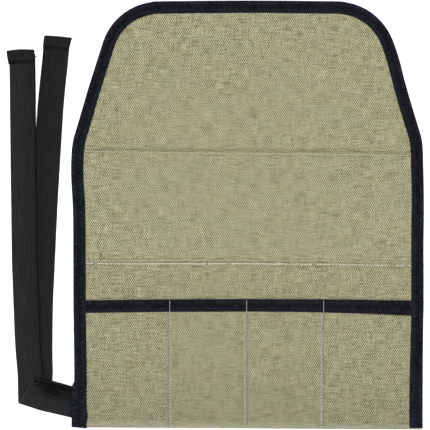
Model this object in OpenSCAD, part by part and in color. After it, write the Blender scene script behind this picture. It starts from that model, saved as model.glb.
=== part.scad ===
// Canvas tool roll, lying open: four bound pockets, a sewn band, a fold-over flap and a webbing tie.
// The bottom fold is at the low end of Y, the flap's tip at the high end, the underside on Z = 0.
// The cloth is divided at the lines where it folds, because each division moves on its own.

/* [Body] */
// Width across the two side bindings
body_w = 336; // [320:2:352]
// Length from the bottom fold to the flap's tip
body_l = 410; // [400:2:420]
// Thickness of the canvas
cloth_t = 1.2; // [1:0.1:1.3]

/* [Flap] */
// Distance from the bottom fold to the line where the flap turns over
fold_y = 267; // [264:1:272]
// Radius of the flap's two outer corners
corner_r = 56; // [48:1:60]
// Radius where each straight side turns into the flap's slanted side
shoulder_r = 58; // [40:1:80]
// Lean of the flap's slanted sides
slant = 16.7; // [15.5:0.1:17.5]

/* [Pockets] */
// Height of the pocket mouths above the bottom fold
pocket_h = 123; // [115:1:125]
// Distance from one pocket divider to the next
divider_pitch = 74; // [68:1:78]
// Place of the middle divider across the width
divider_shift = -1.8; // [-4:0.2:4]
// How far the eased pocket cloth stands off the body at its mouth
pocket_rise = 7; // [6.5:0.5:9]

/* [Band] */
// Distance from the bottom fold to the band's lower edge
band_y = 157; // [150:1:165]

/* [Binding] */
// Visible width of the binding tape
binding_w = 12; // [10:0.5:13]
// Thickness of the binding tape
tape_t = 0.5; // [0.4:0.1:0.6]

/* [Tie] */
// Width of the webbing
webbing_w = 25; // [22:1:25]
// Thickness of the webbing
webbing_t = 1.3; // [1:0.1:1.3]
// Length of the turned-over hem on each tail
hem_l = 12; // [8:1:14]

/* [Folding] */
// Furthest that each column of pockets turns over towards the next
roll_max = 80; // [60:5:80]
// How far the flap turns over, just short of flat
flap_max = 179.8; // [179:0.1:179.8]

/* [Hidden] */

canvas_colour = [0.62, 0.61, 0.49];
band_colour = [0.64, 0.63, 0.52];
tape_colour = [0.12, 0.12, 0.16];
webbing_colour = [0.14, 0.14, 0.15];
thread_colour = [0.74, 0.74, 0.72];

side = body_w / 2;
// Room left at every line where one moving piece of cloth ends and the next begins
seam_gap = 0.3;
// The tape's end wall around the raw edge of the canvas
edge_wall = 0.8;
// Flat strip of pocket cloth sewn down along each of its sides
sewn_w = 3;
thread_w = 0.8;
thread_h = 0.5;
// Distance of the band's stitch rows from its lower edge, then from its upper edge
band_rows_low = [1, 4.6];
band_row_high = 2.5;
// How far the third divider's thread runs on past the pocket mouth
thread_overrun = 9;

layer_top = 2 * cloth_t;
bound_top = layer_top + tape_t;
flap_top = cloth_t + tape_t;
// The columns turn about the canvas's upper face, and the flap about a line
// high enough to lie on the bindings when it is turned over
roll_axis_z = cloth_t;
flap_axis_z = (bound_top + flap_top + seam_gap) / 2;
// Height of the turned-over flap's tip, where it stands highest
folded_top = 2 * flap_axis_z + (body_l - fold_y) * sin(flap_max);

// Edges of the four columns, from the left side to the right
column_edges = [
    -side,
    divider_shift - divider_pitch,
    divider_shift,
    divider_shift + divider_pitch,
    side
];

// Clearance from a divider for something whose top is at this height, so that two
// neighbouring columns never meet when they turn
function roll_gap(top) = seam_gap / 2 + max(0, top - roll_axis_z) * tan(roll_max / 2);

function left_of(i, gap) = column_edges[i - 1] + (i == 1 ? 0 : gap);
function right_of(i, gap) = column_edges[i] - (i == 4 ? 0 : gap);

// Half the length of the flap's straight tip, where the corners and slanted sides meet it
flap_tip = (
    shoulder_r * (1 - cos(slant)) + cos(slant) * side
    + sin(slant) * (fold_y - body_l + corner_r) - corner_r
) / cos(slant);

function arc(centre, r, from, to, steps) = [
    for (k = [0:steps]) centre + r * [cos(from + (to - from) * k / steps), sin(from + (to - from) * k / steps)]
];

// Right half of the flap's outline, from the fold line up to the tip, drawn inwards by an inset
function flap_half(inset) = concat(
    arc([side - shoulder_r, fold_y], shoulder_r - inset, 0, slant, 8),
    arc([flap_tip, body_l - corner_r], corner_r - inset, slant, 90, 20)
);

module flap_outline(inset) {
    half = flap_half(inset);
    mirrored = [for (k = [len(half) - 1:-1:0]) [-half[k][0], half[k][1]]];
    polygon(concat([[side - inset, fold_y]], half, mirrored, [[-side + inset, fold_y]]));
}

// Everything is drawn from the bottom fold, then centred on the origin
module laid() {
    translate([0, -body_l / 2, 0]) children();
}

module box_between(low, high) {
    translate(low) cube(high - low);
}

// A sheet over a grid of x and y, between a lower and an upper surface
module sheet(xs, ys, low, high) {
    nx = len(xs);
    ny = len(ys);
    function at(i, j, top) = (top * ny + j) * nx + i;
    points = [
        for (top = [0, 1], y = ys, x = xs) [x, y, top == 0 ? low(x, y) : high(x, y)]
    ];
    upper = [
        for (j = [0:ny - 2], i = [0:nx - 2])
            each [[at(i, j, 1), at(i, j + 1, 1), at(i + 1, j, 1)],
                  [at(i + 1, j, 1), at(i, j + 1, 1), at(i + 1, j + 1, 1)]]
    ];
    lower = [
        for (j = [0:ny - 2], i = [0:nx - 2])
            each [[at(i, j, 0), at(i + 1, j, 0), at(i, j + 1, 0)],
                  [at(i + 1, j, 0), at(i + 1, j + 1, 0), at(i, j + 1, 0)]]
    ];
    ends = [
        for (i = [0:nx - 2])
            each [[at(i, 0, 0), at(i, 0, 1), at(i + 1, 0, 1), at(i + 1, 0, 0)],
                  [at(i, ny - 1, 0), at(i + 1, ny - 1, 0), at(i + 1, ny - 1, 1), at(i, ny - 1, 1)]]
    ];
    flanks = [
        for (j = [0:ny - 2])
            each [[at(0, j, 0), at(0, j + 1, 0), at(0, j + 1, 1), at(0, j, 1)],
                  [at(nx - 1, j, 0), at(nx - 1, j, 1), at(nx - 1, j + 1, 1), at(nx - 1, j + 1, 0)]]
    ];
    polyhedron(points, concat(upper, lower, ends, flanks));
}

// One column of the body canvas. Its bound margin is pressed thin between the tape's two legs.
module canvas(i) {
    left = left_of(i, seam_gap / 2);
    right = right_of(i, seam_gap / 2);
    bound_left = i == 1 ? binding_w : 0;
    bound_right = i == 4 ? binding_w : 0;
    edge_left = i == 1 ? edge_wall : 0;
    edge_right = i == 4 ? edge_wall : 0;
    top_y = fold_y - seam_gap / 2;
    color(canvas_colour) laid() {
        box_between([left + bound_left, 0, 0], [right - bound_right, top_y, cloth_t]);
        box_between([left + edge_left, 0, tape_t], [right - edge_right, top_y, cloth_t]);
    }
}

// One column of the band sewn across the body below the flap
module band(i) {
    gap = roll_gap(layer_top);
    left = left_of(i, gap) + (i == 1 ? edge_wall : 0);
    right = right_of(i, gap) - (i == 4 ? edge_wall : 0);
    color(band_colour) laid()
        box_between([left, band_y, cloth_t], [right, fold_y - seam_gap / 2, layer_top]);
}

// Where a pocket's cloth leaves the body: sewn flat along its sides and its bottom, eased between
function eased_left(i) = i == 1 ? -side + binding_w : left_of(i, roll_gap(layer_top)) + sewn_w;
function eased_right(i) = i == 4 ? side - binding_w : right_of(i, roll_gap(layer_top)) - sewn_w;
function across(i, x) = (2 * x - eased_left(i) - eased_right(i)) / (eased_right(i) - eased_left(i));
function up(y) = max(0, (y - sewn_w) / (pocket_h - sewn_w));
function rise(i, x, y) = pocket_rise * max(0, 1 - across(i, x) ^ 2) * (1 - (1 - min(1, up(y))) ^ 3);

wall_y = pocket_h - tape_t;
tape_y = pocket_h - binding_w;
function pocket_xs(i, left, right) = concat(
    [left],
    [for (k = [0:14]) eased_left(i) + (eased_right(i) - eased_left(i)) * k / 14],
    [right]
);
pocket_ys = concat([0, sewn_w], [for (k = [1:9]) sewn_w + (tape_y - sewn_w) * k / 9], [wall_y]);

// One pocket: the canvas turned up at the bottom fold and sewn down at both sides
module pocket(i) {
    gap = roll_gap(layer_top);
    left = left_of(i, gap) + (i == 1 ? edge_wall : 0);
    right = right_of(i, gap) - (i == 4 ? edge_wall : 0);
    color(canvas_colour) laid()
        sheet(
            pocket_xs(i, left, right), pocket_ys,
            function(x, y) cloth_t + rise(i, x, y),
            function(x, y) layer_top + rise(i, x, y)
        );
}

// The tape over one pocket's mouth: a leg on the cloth and a wall around its cut edge
module mouth_binding(i) {
    gap = roll_gap(bound_top);
    left = i == 1 ? -side + binding_w : left_of(i, gap);
    right = i == 4 ? side - binding_w : right_of(i, gap);
    inner = [for (k = [0:14]) eased_left(i) + (eased_right(i) - eased_left(i)) * k / 14];
    xs = concat(i == 1 ? [] : [left], inner, i == 4 ? [] : [right]);
    top = function(x, y) bound_top + rise(i, x, min(y, wall_y));
    color(tape_colour) laid() {
        sheet(xs, [tape_y, wall_y], function(x, y) layer_top + rise(i, x, y), top);
        sheet(xs, [wall_y, pocket_h], function(x, y) cloth_t + rise(i, x, wall_y), top);
    }
}

// The tape down one side of the body, folded around canvas, pocket cloth and band.
// end is -1 for the left side and 1 for the right.
module side_binding(end) {
    top_y = fold_y - seam_gap / 2;
    // A block from one distance in from the side to another, either way round
    module along_side(from, to, low_y, high_y, low_z, high_z) {
        xs = [end * (side - from), end * (side - to)];
        box_between([min(xs), low_y, low_z], [max(xs), high_y, high_z]);
    }
    color(tape_colour) laid() difference() {
        along_side(0, binding_w, 0, top_y, 0, bound_top);
        along_side(edge_wall, binding_w + 1, -1, top_y + 1, tape_t, cloth_t);
        along_side(edge_wall, binding_w + 1, -1, wall_y, cloth_t, layer_top);
        along_side(edge_wall, binding_w + 1, band_y, top_y + 1, cloth_t, layer_top);
    }
}

// The part of the flap that turns with one column
module flap_column(i, height) {
    gap = roll_gap(folded_top);
    box_between(
        [left_of(i, gap), fold_y + seam_gap / 2, -1],
        [right_of(i, gap), body_l + 1, height + 1]
    );
}

module flap_cloth() {
    linear_extrude(cloth_t) flap_outline(binding_w);
    translate([0, 0, tape_t]) linear_extrude(cloth_t - tape_t) flap_outline(edge_wall);
}

module flap_canvas(i) {
    color(canvas_colour) laid() intersection() {
        flap_cloth();
        flap_column(i, cloth_t);
    }
}

// The tape around the flap's edge
module flap_binding(i) {
    color(tape_colour) laid() intersection() {
        difference() {
            linear_extrude(flap_top) flap_outline(0);
            translate([0, 0, -1]) linear_extrude(flap_top + 2) flap_outline(binding_w);
            translate([0, 0, tape_t]) linear_extrude(cloth_t - tape_t) flap_outline(edge_wall);
        }
        flap_column(i, flap_top);
    }
}

// The thread that makes two pockets of one: a row along the divider, on its left-hand column
module divider_stitching(i) {
    x = column_edges[i] - roll_gap(cloth_t + thread_h);
    end_y = pocket_h + (i == 3 ? thread_overrun : 0);
    color(thread_colour) laid()
        box_between([x - thread_w / 2, 1, cloth_t], [x, end_y, cloth_t + thread_h]);
}

// The rows that hold down one column of the band: two along its lower edge, one along its upper
module band_stitching(i) {
    gap = roll_gap(layer_top + thread_h);
    left = i == 1 ? -side + binding_w : left_of(i, gap);
    right = i == 4 ? side - binding_w : right_of(i, gap);
    rows = concat([for (d = band_rows_low) band_y + d], [fold_y - band_row_high]);
    color(thread_colour) laid()
        for (y = rows)
            box_between([left, y - thread_w / 2, layer_top], [right, y + thread_w / 2, layer_top + thread_h]);
}

// The tie is one length of webbing caught by its middle under the left binding, so two tails
// leave together. Each route is x, y and the height of the underside.
exit_x = -side;
right_tail = [
    [exit_x, 27, 0], [exit_x - 8, 29.3, 0], [exit_x - 20, 32.8, 0], [exit_x - 33, 36.6, 0],
    [-201.5, 52, 0], [-201.6, 69, 0], [-201.3, 87, 0], [-200.7, 121, 0], [-199.6, 142, 0],
    [-198.8, 162, 0], [-197.6, 190, 0], [-196.2, 219, 0], [-194.5, 248, 0], [-192.6, 277, 0],
    [-190.2, 311, 0], [-187.9, 334, 0], [-186, 352, 0], [-184, 375, 0]
];
on_top = webbing_t + 0.1;
left_tail = [
    [exit_x, 24, on_top], [exit_x - 8, 26.3, on_top], [exit_x - 24, 30.9, on_top],
    [exit_x - 39.6, 35.4, on_top], [-208.6, 52, on_top], [-210.2, 69, on_top], [-211.4, 87, on_top],
    [-213.2, 121, on_top], [-214, 142, on_top], [-214.6, 162, on_top], [-215, 190, on_top],
    [-215.4, 219, on_top], [-215.8, 248, on_top], [-216.2, 285, on_top], [-216.4, 305, on_top],
    [-216.6, 325, 0], [-216.9, 345, 0], [-217.2, 362, 0]
];

// Direction of a route at a point, and the sideways step there that keeps the width through a bend
function leg(route, k) = let (d = [route[k + 1][0] - route[k][0], route[k + 1][1] - route[k][1]]) d / norm(d);
function leg_in(route, k) = leg(route, max(0, k - 1));
function leg_out(route, k) = leg(route, min(len(route) - 2, k));
function heading(route, k) = let (d = leg_in(route, k) + leg_out(route, k)) d / norm(d);
function half_step(route, k) = webbing_w / 2 / (heading(route, k) * leg_out(route, k));
function edge_point(route, k, edge, z) = let (h = k == 0 ? [-1, 0] : heading(route, k))
    [route[k][0] - edge * h[1] * half_step(route, k),
     route[k][1] + edge * h[0] * half_step(route, k),
     route[k][2] + z];

// Flat webbing along a route, its first end square to the binding
module webbing(route) {
    n = len(route);
    points = [
        for (k = [0:n - 1]) each [
            edge_point(route, k, -1, 0), edge_point(route, k, 1, 0),
            edge_point(route, k, 1, webbing_t), edge_point(route, k, -1, webbing_t)
        ]
    ];
    skin = [
        for (k = [0:n - 2], c = [0:3]) each [
            [4 * k + c, 4 * k + (c + 1) % 4, 4 * (k + 1) + c],
            [4 * k + (c + 1) % 4, 4 * (k + 1) + (c + 1) % 4, 4 * (k + 1) + c]
        ]
    ];
    polyhedron(points, concat([[3, 2, 1, 0]], skin, [[4 * n - 4, 4 * n - 3, 4 * n - 2, 4 * n - 1]]));
}

// The end of a tail turned over on itself
module tail_hem(route) {
    end = route[len(route) - 1];
    along = leg(route, len(route) - 2);
    translate([end[0], end[1], end[2] + webbing_t])
        rotate([0, 0, atan2(along[1], along[0])])
            translate([-hem_l, -webbing_w / 2, 0]) cube([hem_l, webbing_w, webbing_t]);
}

for (i = [1:4]) {
    canvas(i);
    band(i);
    pocket(i);
    mouth_binding(i);
    flap_canvas(i);
    flap_binding(i);
    band_stitching(i);
}
for (i = [1:3]) divider_stitching(i);
side_binding(-1);  // side_binding_left
side_binding(1);  // side_binding_right
color(webbing_colour) laid() webbing(left_tail);  // webbing_tail_left
color(webbing_colour) laid() webbing(right_tail);  // webbing_tail_right
color(webbing_colour) laid() tail_hem(left_tail);  // tail_hem_left
color(webbing_colour) laid() tail_hem(right_tail);  // tail_hem_right
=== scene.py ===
"""A canvas tool roll lying open: cloth, tape, webbing and thread laid over the CAD frame.

Lengths are in metres, and MM turns millimetres into metres. Where a helper takes a size in millimetres
its docstring says mm. Every sheet, tape and strap is a loft: a row of closed sections whose points are
placed by the surface functions below.
"""

import math
import random
from collections import namedtuple

import bpy
import numpy as np
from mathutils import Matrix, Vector, noise


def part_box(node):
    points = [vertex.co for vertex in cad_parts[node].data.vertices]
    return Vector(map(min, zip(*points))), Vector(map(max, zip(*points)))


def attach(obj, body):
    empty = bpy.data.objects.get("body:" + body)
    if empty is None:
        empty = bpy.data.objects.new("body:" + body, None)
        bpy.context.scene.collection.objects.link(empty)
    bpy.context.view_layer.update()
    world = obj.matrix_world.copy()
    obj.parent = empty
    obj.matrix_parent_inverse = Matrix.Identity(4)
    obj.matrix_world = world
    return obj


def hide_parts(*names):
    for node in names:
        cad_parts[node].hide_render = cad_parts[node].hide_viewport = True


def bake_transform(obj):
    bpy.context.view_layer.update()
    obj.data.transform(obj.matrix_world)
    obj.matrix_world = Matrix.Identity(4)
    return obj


MM = 0.001
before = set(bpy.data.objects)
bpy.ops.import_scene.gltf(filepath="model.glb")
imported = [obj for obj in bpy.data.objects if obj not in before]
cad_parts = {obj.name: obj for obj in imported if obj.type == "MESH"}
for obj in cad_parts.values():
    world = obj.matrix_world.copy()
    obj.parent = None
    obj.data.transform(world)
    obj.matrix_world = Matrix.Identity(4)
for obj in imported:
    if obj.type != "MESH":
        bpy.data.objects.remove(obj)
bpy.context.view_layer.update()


# ---- sizes, from the frame

def low(node, axis):
    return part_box(node)[0][axis]


def high(node, axis):
    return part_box(node)[1][axis]


SIDE = high("side_binding_right", 0)
BOTTOM = low("canvas_1", 1)
FOLD = (high("canvas_1", 1) + low("flap_canvas_1", 1)) / 2
TIP = high("flap_binding_2", 1)
MOUTH = high("mouth_binding_2", 1)
BAND_LOW = low("band_2", 1)
TAPE_W = high("side_binding_left", 0) - low("side_binding_left", 0)
DIVIDERS = [(high(f"canvas_{i}", 0) + low(f"canvas_{i + 1}", 0)) / 2 for i in (1, 2, 3)]
EDGES = [-SIDE, *DIVIDERS, SIDE]
MIDS = [(a + b) / 2 for a, b in zip(EDGES, EDGES[1:])]
CANVAS_TOP = high("canvas_2", 2)
LAYER_TOP = high("band_2", 2)
# The pockets have this much ease at their mouths when they are full; lying empty they settle lower
RISE = high("mouth_binding_2", 2) - high("side_binding_left", 2)
REST_RISE = 0.12 * RISE

CLOTH_T = 1.05 * MM
TAPE_T = 0.5 * MM
BODY_MID = CANVAS_TOP / 2
POCKET_MID = (CANVAS_TOP + LAYER_TOP) / 2
SEWN = 2.2 * MM
FOLD_R = 1.15 * MM
# Where the body's cloth hands over to the flap's, under the band
JOIN = FOLD - 12 * MM


# ---- camera, floor and light

def make_camera():
    """Straight above, with a long lens, a little left of the middle so that both tails show."""
    camera = bpy.data.objects.new("camera", bpy.data.cameras.new("camera"))
    camera.data.lens = 100
    camera.data.sensor_width = 36
    camera.location = (-31.7 * MM, -0.2 * MM, 1.15)
    camera.data.clip_end = 20
    bpy.context.collection.objects.link(camera)
    bpy.context.scene.camera = camera


def area_light(name, place, size, power):
    """A round soft light that shines at the middle of the roll."""
    light = bpy.data.lights.new(name, "AREA")
    light.shape = "DISK"
    light.size = size
    light.energy = power
    lamp = bpy.data.objects.new(name, light)
    lamp.location = place
    lamp.rotation_euler = (-Vector(place)).to_track_quat("-Z", "Y").to_euler()
    bpy.context.collection.objects.link(lamp)


def make_studio():
    world = bpy.data.worlds.new("studio")
    world.use_nodes = True
    background = world.node_tree.nodes["Background"]
    background.inputs["Color"].default_value = (1, 1, 1, 1)
    background.inputs["Strength"].default_value = 0.85
    bpy.context.scene.world = world
    bpy.context.scene.view_settings.view_transform = "Standard"
    area_light("front_softbox", (-0.15, -2.0, 1.6), 1.2, 42)
    area_light("top_softbox", (0.1, 0.6, 1.9), 1.2, 26)


make_camera()
make_studio()


# ---- shader helpers

class Graph:
    """A short way to write node materials: each call makes a node and returns its output."""

    def __init__(self, name):
        self.material = bpy.data.materials.new(name)
        self.material.use_nodes = True
        self.nodes = self.material.node_tree.nodes
        self.links = self.material.node_tree.links
        self.shader = self.nodes["Principled BSDF"]

    def feed(self, socket, value):
        if isinstance(value, bpy.types.NodeSocket):
            self.links.new(value, socket)
        else:
            socket.default_value = value

    def math(self, operation, a, b=0.0, c=0.0):
        node = self.nodes.new("ShaderNodeMath")
        node.operation = operation
        for socket, value in zip(node.inputs, (a, b, c)):
            self.feed(socket, value)
        return node.outputs[0]

    def times(self, a, b):
        return self.math("MULTIPLY", a, b)

    def span(self, value, from_low, from_high, to_low=0.0, to_high=1.0):
        node = self.nodes.new("ShaderNodeMapRange")
        for socket, v in zip(node.inputs, (value, from_low, from_high, to_low, to_high)):
            self.feed(socket, v)
        return node.outputs["Result"]

    def mix(self, factor, a, b, blend="MIX"):
        node = self.nodes.new("ShaderNodeMix")
        node.data_type = "RGBA"
        node.blend_type = blend
        self.feed(node.inputs["Factor"], factor)
        self.feed(node.inputs["A"], a)
        self.feed(node.inputs["B"], b)
        return node.outputs["Result"]

    def place(self, seed):
        """The cloth's own coordinates in millimetres, which this graph's noises use with its seed."""
        uv = self.nodes.new("ShaderNodeUVMap")
        uv.uv_map = "cloth"
        scale = self.nodes.new("ShaderNodeVectorMath")
        scale.operation = "SCALE"
        scale.inputs["Scale"].default_value = 1 / MM
        self.links.new(uv.outputs["UV"], scale.inputs[0])
        split = self.nodes.new("ShaderNodeSeparateXYZ")
        self.links.new(scale.outputs[0], split.inputs[0])
        self.u, self.v, self.seed = split.outputs["X"], split.outputs["Y"], seed
        return self.u, self.v

    def noise(self, size_u, size_v, detail, seed):
        """Noise whose grains are size_u by size_v millimetres."""
        join = self.nodes.new("ShaderNodeCombineXYZ")
        self.feed(join.inputs["X"], self.math("DIVIDE", self.u, size_u))
        self.feed(join.inputs["Y"], self.math("DIVIDE", self.v, size_v))
        join.inputs["Z"].default_value = self.seed + seed
        node = self.nodes.new("ShaderNodeTexNoise")
        node.inputs["Scale"].default_value = 1.0
        node.inputs["Detail"].default_value = detail
        node.inputs["Roughness"].default_value = 0.5
        self.links.new(join.outputs[0], node.inputs["Vector"])
        return node.outputs["Fac"]

    def wave(self, value, pitch):
        """A sine of this pitch in mm, from -1 to 1."""
        return self.math("SINE", self.times(value, 2 * math.pi / pitch))

    def bump(self, height, distance, strength=1.0):
        node = self.nodes.new("ShaderNodeBump")
        node.inputs["Strength"].default_value = strength
        node.inputs["Distance"].default_value = distance
        self.links.new(height, node.inputs["Height"])
        return node.outputs["Normal"]

    def finish(self, colour, roughness, normal, specular):
        self.feed(self.shader.inputs["Base Color"], colour)
        self.feed(self.shader.inputs["Roughness"], roughness)
        self.shader.inputs["Specular IOR Level"].default_value = specular
        self.links.new(normal, self.shader.inputs["Normal"])
        return self.material


def srgb(r, g, b):
    """A screen colour from 0 to 255 as the linear colour that a shader takes."""
    def linear(c):
        c = c / 255
        return c / 12.92 if c <= 0.04045 else ((c + 0.055) / 1.055) ** 2.4

    return (linear(r), linear(g), linear(b), 1)


def scaled(tone, r, g=None, b=None):
    """A tone made lighter or darker, by one number or by one for each of its channels."""
    return (tone[0] * r, tone[1] * (r if g is None else g), tone[2] * (r if b is None else b), 1)


def canvas_material(name, tone, seed, contrast, painted_shading=(), worn_and_highlit=None, painted_shade_lines=()):
    """Khaki duck: a plain weave of uneven yarns, with slubs along the weft and dark flecks.

    contrast is how strongly the crossings of its yarns show.
    painted_shading is a list of (start, end, shade_factor): from start on to end, in millimetres along v, the
    colour is multiplied more and more by that factor, and beyond end it keeps it; these are painted light and
    shade.
    Between the two places in worn_and_highlit, its fold is paler and greyer, partly from wear and partly as a
    painted highlight.
    painted_shade_lines is a list of (place, half width, darkness): lines across v darkened as painted shade.
    """
    g = Graph(name)
    u, v = g.place(seed)
    uu = g.math("MULTIPLY_ADD", g.noise(40, 40, 2, 3.1), 5.0, u)
    vv = g.math("MULTIPLY_ADD", g.noise(36, 36, 2, 9.7), 5.0, v)
    plain = g.span(g.noise(24, 20, 2, 2.0), 0.38, 0.62, 0.55, 1.0)
    weave = g.times(g.times(g.wave(uu, 2.05), g.wave(vv, 3.3)), plain)
    warp_yarn = g.noise(1.0, 13, 2, 5.0)
    weft_yarn = g.noise(11, 1.1, 2, 6.0)
    grain = g.noise(1.1, 1.0, 1, 4.0)
    cloud = g.noise(34, 11, 3, 1.0)
    shade = g.math("MULTIPLY_ADD", weave, contrast, 1.0)
    for yarn, share in ((warp_yarn, 1.3), (weft_yarn, 1.5), (grain, 1.8), (cloud, 0.14)):
        shade = g.math("MULTIPLY_ADD", g.math("SUBTRACT", yarn, 0.5), share, shade)
    slub = g.span(g.noise(7, 0.9, 2, 7.0), 0.6, 0.72)
    dark_slub = g.span(g.noise(15, 1.6, 1, 11.0), 0.59, 0.67)
    fleck = g.span(g.noise(4.0, 3.4, 1, 8.0), 0.64, 0.74)
    green = g.span(g.noise(60, 12, 2, 14.0), 0.38, 0.62)
    colour = g.mix(green, scaled(tone, 1.015, 1.0, 0.98), scaled(tone, 0.98, 1.0, 1.0))
    colour = g.mix(1.0, colour, g.math("MAXIMUM", shade, 0.12), "MULTIPLY")
    crown = g.mix(g.span(shade, 0.4, 1.6), (1, 1, 0.92, 1), (1, 1, 1.1, 1))
    colour = g.mix(1.0, colour, crown, "MULTIPLY")
    # painted light and shade along v, one factor after another
    for start, end, shade_factor in painted_shading:
        colour = g.mix(1.0, colour, g.mix(g.span(v, start, end), (1, 1, 1, 1), shade_factor), "MULTIPLY")
    colour = g.mix(g.times(slub, 0.4), colour, scaled(tone, 1.35, 1.33, 1.4))
    colour = g.mix(g.times(dark_slub, 0.55), colour, scaled(tone, 0.45, 0.42, 0.32))
    colour = g.mix(g.times(fleck, 0.6), colour, scaled(tone, 0.3, 0.28, 0.2))
    # paler, greyer fold: partly wear, partly a painted highlight
    if worn_and_highlit:
        edge = g.times(g.span(v, worn_and_highlit[0], worn_and_highlit[0] + 2), g.span(v, worn_and_highlit[1] + 1, worn_and_highlit[1]))
        colour = g.mix(g.times(edge, 0.35), colour, scaled(tone, 1.02, 1.1, 1.5))
    # painted shade along lines across v
    for place, half, darkness in painted_shade_lines:
        off = g.math("ABSOLUTE", g.math("SUBTRACT", v, place))
        colour = g.mix(g.span(off, half, half * 0.3, 0, darkness), colour, (0, 0, 0, 1))
    yarns = g.times(g.math("ADD", warp_yarn, weft_yarn), 0.9)
    height = g.math("MULTIPLY_ADD", weave, 0.6, yarns)
    height = g.math("MULTIPLY_ADD", slub, 0.4, height)
    return g.finish(colour, 0.95, g.bump(height, 0.2 * MM), 0.12)


def tape_material(name, tone, seed):
    """Navy-black cotton tape: a fine close weave, with painted highlights along its ridges and painted shade
    in its seam's groove and at its outer edge.
    """
    g = Graph(name)
    u, v = g.place(seed)
    rib = g.wave(u, 0.9)
    cross = g.wave(v, 0.9)
    yarn = g.noise(0.8, 5, 2, 0)
    lint = g.span(g.noise(1.3, 1.0, 2, 4), 0.64, 0.74)
    cloud = g.noise(14, 9, 3, 2)
    pale = (tone[0] * 3.4 + 0.002, tone[1] * 3.4 + 0.002, tone[2] * 3.6 + 0.004, 1)
    deep = scaled(tone, 0.15)
    colour = g.mix(g.span(cloud, 0.35, 0.65), deep, tone)
    colour = g.mix(g.span(yarn, 0.42, 0.72, 0, 0.75), colour, pale)
    colour = g.mix(g.times(lint, 0.4), colour, srgb(62, 64, 74))
    # painted highlights along the outer and inner ridges, painted shade in the seam's groove and on the outer
    # edge's wall
    seam = g.times(g.span(v, 8.8, 9.6), g.span(v, 10.9, 10.1))
    painted_highlights = g.math("ADD", g.span(v, 4.8, 2.6, 0.8, 1.4), g.span(v, 7.2, 9.0, 0.0, 0.7))
    shade = g.math("SUBTRACT", painted_highlights, g.times(seam, 0.35))
    shade = g.times(shade, g.span(v, 0.2, 1.0, 0.5, 1.0))
    colour = g.mix(1.0, colour, shade, "MULTIPLY")
    height = g.math("MULTIPLY_ADD", g.times(rib, cross), 0.5, g.times(yarn, 0.8))
    return g.finish(colour, 0.95, g.bump(height, 0.1 * MM, 0.8), 0.06)


def webbing_material(name, tone, seed, edges=(1.0, 1.0), crease=None, strap=True):
    """Charcoal webbing: fine cross picks over lengthwise ribs, with some yarns paler from wear.

    edges is how strong its tone is along its two edges. crease is how far along it, in millimetres,
    it has been folded; a painted highlight runs along that fold, and that strap's far edge has a painted
    shadow. A strap has painted shade where it is bunched at its turn and by its exit, and a hem along its
    seam.
    """
    g = Graph(name)
    u, v = g.place(seed)
    pick = g.wave(g.math("MULTIPLY_ADD", g.math("ABSOLUTE", g.wave(v, 5.2)), 0.8, u), 1.15)
    rib = g.wave(v, 1.3)
    yarn = g.noise(26, 1.1, 3, 0)
    fuzz = g.noise(0.9, 0.7, 2, 3)
    cloud = g.noise(16, 8, 3, 6)
    pale = scaled(tone, 2.2)
    deep = scaled(tone, 0.35)
    colour = g.mix(g.span(yarn, 0.3, 0.72), deep, pale)
    colour = g.mix(g.span(cloud, 0.3, 0.7, 0.3, 0.7), colour, tone)
    colour = g.mix(g.span(pick, -1, 1, 0, 0.3), colour, deep)
    colour = g.mix(g.span(fuzz, 0.55, 0.75, 0, 0.35), colour, pale)
    colour = g.mix(1.0, colour, g.span(v, 0, 25, *edges), "MULTIPLY")
    painted_shade_tone = scaled(tone, 0.12)
    if strap:
        # painted shade in the bunched folds at the turn, and a painted shadow by the exit under the tape
        bunched = g.times(g.span(v, 11, 18), g.span(u, 38, 27))
        colour = g.mix(g.times(bunched, 0.7), colour, painted_shade_tone)
        colour = g.mix(g.span(u, 6, 0, 0, 0.8), colour, painted_shade_tone)
    else:
        # painted shade in the hem's seam groove
        seam = g.times(g.span(u, 9.0, 9.8), g.span(u, 12.4, 11.6, 0, 0.6))
        colour = g.mix(seam, colour, painted_shade_tone)
    if crease:
        # painted shadow along the far edge, where this strap lies against the other
        colour = g.mix(g.span(v, 23.2, 24.2, 0, 0.9), colour, painted_shade_tone)
        # painted highlight along the crease
        off = g.math("ABSOLUTE", g.math("SUBTRACT", u, crease))
        colour = g.mix(g.span(off, 1.0, 0.4, 0, 0.6), colour, scaled(tone, 3.4))
    height = g.math("MULTIPLY_ADD", pick, 0.35, g.math("MULTIPLY_ADD", rib, 0.5, yarn))
    return g.finish(colour, 0.92, g.bump(height, 0.14 * MM, 0.9), 0.1)


def thread_material(name, tone):
    """Sewing thread: two plies twisted together."""
    g = Graph(name)
    u, v = g.place(0)
    twist = g.wave(g.math("ADD", u, g.times(v, 1.6)), 0.55)
    colour = g.mix(g.span(twist, -1, 1), scaled(tone, 0.7), tone)
    return g.finish(colour, 0.8, g.bump(twist, 0.05 * MM), 0.2)


CANVAS_FLAP = canvas_material("canvas_flap", srgb(126, 124.5, 97), 0.0, 1.12)
# The band's dark lines beside its rows of stitches are painted shade in their grooves, and the body's line is
# a painted shadow along the round of its bottom fold.
CANVAS_BAND = canvas_material("canvas_band", srgb(125.5, 124, 97.5), 20.0, 1.2,
                              painted_shade_lines=[(1.7, 0.9, 0.06), (4.4, 0.8, 0.1), (102.0, 0.9, 0.06)])
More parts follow.
